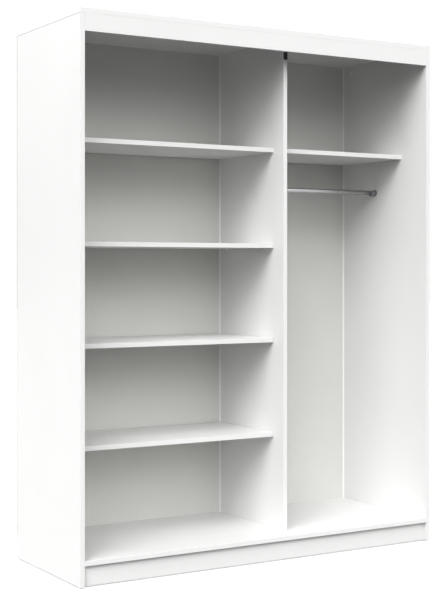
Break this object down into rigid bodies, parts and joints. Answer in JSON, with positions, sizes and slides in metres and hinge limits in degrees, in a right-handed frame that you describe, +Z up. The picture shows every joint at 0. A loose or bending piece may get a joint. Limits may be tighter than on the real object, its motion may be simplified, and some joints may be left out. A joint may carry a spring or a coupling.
{
  "type": "sliding door wardrobe",
  "caption": "Open white wardrobe carcass for sliding doors: a bay of shelves, a hanging bay with a rail under a top shelf, a fascia and a plinth.",
  "frame": {"origin": "on the floor, under the middle of the wardrobe", "axes": "+X along the width to the right of someone facing the wardrobe, +Y from the front to the rear, +Z up"},
  "size_m": [1.632, 0.59, 2.1],
  "materials": {
    "white_melamine": "white melamine on particle board, satin, very fine pearl texture, white edging",
    "grey_hardboard": "painted hardboard, pale warm grey, matt",
    "white_plastic": "white moulded plastic, semi matt",
    "rail_steel": "satin grey steel tube",
    "zinc_die_cast": "grey zinc casting, satin",
    "track_aluminium": "natural anodised extrusion",
    "black_rubber": "black rubber, matt",
    "plated_steel": "zinc plated",
    "beech": "beech, fluted"
  },
  "bodies": {
    "carcass": {"side_panel_left": "white_melamine", "side_panel_right": "white_melamine", "top_panel": "white_melamine", "bottom_panel": "white_melamine", "divider_panel": "white_melamine", "fascia_panel": "white_melamine", "plinth_front": "white_melamine", "plinth_rear": "white_melamine", "plinth_crosspiece_left": "white_melamine", "plinth_crosspiece_divider": "white_melamine", "shelf_left_top": "white_melamine", "shelf_right_top": "white_melamine", "back_board_left": "grey_hardboard", "back_board_right": "grey_hardboard", "corner_bead_left_bay_left": "white_plastic", "corner_bead_left_bay_right": "white_plastic", "corner_bead_right_bay_left": "white_plastic", "corner_bead_right_bay_right": "white_plastic", "screw_caps": "white_plastic", "cam_covers": "white_plastic", "shelf_supports": "white_plastic", "corner_blocks": "white_plastic", "floor_glides": "white_plastic", "rail_cup_left": "zinc_die_cast", "rail_cup_right": "zinc_die_cast", "upper_track": "track_aluminium", "track_stops": "black_rubber", "divider_buffer": "black_rubber", "cams": "zinc_die_cast", "cam_bolts": "plated_steel", "confirmat_screws": "plated_steel", "rail_cup_screws": "plated_steel", "upper_track_screws": "plated_steel", "corner_block_screws": "plated_steel", "back_board_nails": "plated_steel", "wood_dowels": "beech"},
    "rail": {"hanging_rail": "rail_steel"},
    "loose_shelf_left_lower": {"shelf_left_lower": "white_melamine"},
    "loose_shelf_left_middle": {"shelf_left_middle": "white_melamine"},
    "loose_shelf_left_upper": {"shelf_left_upper": "white_melamine"}
  },
  "joints": [
    {"name": "rail_lifts_out", "type": "slide", "parent": "carcass", "child": "rail", "axis": [0, 0, 1], "range_m": [0, 0.03]},
    {"name": "shelf_left_lower_pulls_forward", "type": "slide", "parent": "carcass", "child": "loose_shelf_left_lower", "axis": [0, -1, 0], "range_m": [0, 0.045]},
    {"name": "shelf_left_middle_pulls_forward", "type": "slide", "parent": "carcass", "child": "loose_shelf_left_middle", "axis": [0, -1, 0], "range_m": [0, 0.045]},
    {"name": "shelf_left_upper_pulls_forward", "type": "slide", "parent": "carcass", "child": "loose_shelf_left_upper", "axis": [0, -1, 0], "range_m": [0, 0.045]}
  ]
}
